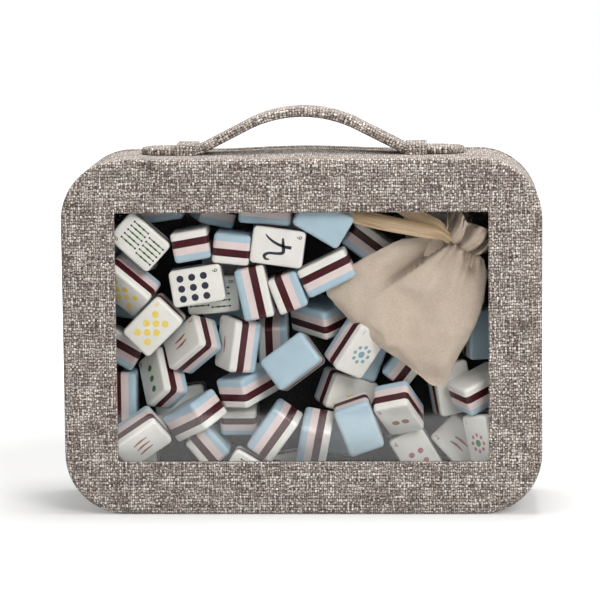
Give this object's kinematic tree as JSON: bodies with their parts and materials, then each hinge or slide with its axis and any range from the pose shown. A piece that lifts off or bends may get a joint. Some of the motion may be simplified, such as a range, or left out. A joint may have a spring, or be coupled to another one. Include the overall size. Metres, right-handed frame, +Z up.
{
  "type": "mahjong case",
  "caption": "Soft sided carry case with a clear front window, top strap handle and zipped rear lid, filled with loose game tiles and a drawstring pouch.",
  "frame": {"origin": "centre of the rectangle that the case stands on, on the floor plane", "axes": "+Z up, +Y towards the rear lid, so the window looks along -Y, and +X to the right as seen from the front"},
  "size_m": [0.2938, 0.08, 0.2447],
  "materials": {
    "tweed_fabric": "plain weave tweed in cream, taupe and dark brown yarns",
    "stiffener": "grey-brown fibre board",
    "clear_film": "clear flexible vinyl film",
    "lining_fabric": "plain dark lining",
    "zipper_tape": "woven zipper tape",
    "zipper_teeth": "nylon coil",
    "zipper_metal": "plated zinc",
    "tile_resin": "polished resin in four bonded layers: white, burgundy, pink and light blue",
    "pouch_cotton": "plain beige cotton",
    "pouch_ribbon": "tan satin ribbon"
  },
  "bodies": {
    "case": {"front_fabric": "tweed_fabric", "front_board": "stiffener", "window_pane": "clear_film", "front_lining": "lining_fabric", "gusset_fabric": "tweed_fabric", "gusset_board": "stiffener", "gusset_lining": "lining_fabric", "zipper_tape_case": "zipper_tape", "zipper_chain_case": "zipper_teeth", "zipper_stops": "zipper_metal", "hinge_strip_case": "tweed_fabric", "keeper_left": "tweed_fabric", "keeper_right": "tweed_fabric", "keeper_anchor_plates": "stiffener", "mahjong_tiles": "tile_resin", "pouch_bag": "pouch_cotton", "pouch_ruffle": "pouch_cotton", "pouch_drawstring": "pouch_ribbon"},
    "back_lid": {"back_fabric": "tweed_fabric", "back_board": "stiffener", "back_lining": "lining_fabric", "rim_board": "stiffener", "zipper_tape_lid": "zipper_tape", "zipper_chain_lid": "zipper_teeth", "hinge_strip_lid": "tweed_fabric"},
    "zipper_slider": {"slider_body": "zipper_metal", "slider_pin": "zipper_metal"},
    "pull": {"pull_tab": "zipper_metal"},
    "handle_grip": {"handle_core": "stiffener", "handle_cover": "tweed_fabric"},
    "handle_left_end": {"handle_end_left": "tweed_fabric"},
    "handle_right_end": {"handle_end_right": "tweed_fabric"}
  },
  "joints": [
    {"name": "lid_hinge", "type": "hinge", "parent": "case", "child": "back_lid", "pos_m": [0, 0.04, 0], "axis": [-1, 0, 0], "range_deg": [0, 90]},
    {"name": "zipper_travel", "type": "slide", "parent": "case", "child": "zipper_slider", "axis": [0, 0, 1], "range_m": [0, 0.125]},
    {"name": "pull_swing", "type": "hinge", "parent": "zipper_slider", "child": "pull", "pos_m": [-0.1474, 0.0255, 0.046], "axis": [0, 1, 0], "range_deg": [0, 150]},
    {"name": "handle_press", "type": "slide", "parent": "case", "child": "handle_grip", "axis": [0, 0, -1], "range_m": [0, 0.02], "deforming": ["handle_core", "handle_cover"]},
    {"name": "handle_left_travel", "type": "slide", "parent": "case", "child": "handle_left_end", "axis": [-1, 0, 0], "range_m": [0, 0.005]},
    {"name": "handle_right_travel", "type": "slide", "parent": "case", "child": "handle_right_end", "axis": [1, 0, 0], "range_m": [0, 0.005]}
  ],
  "couplings": [
    {"joint": "handle_left_travel", "follows": "handle_press", "ratio": 0.23},
    {"joint": "handle_right_travel", "follows": "handle_press", "ratio": 0.23}
  ]
}
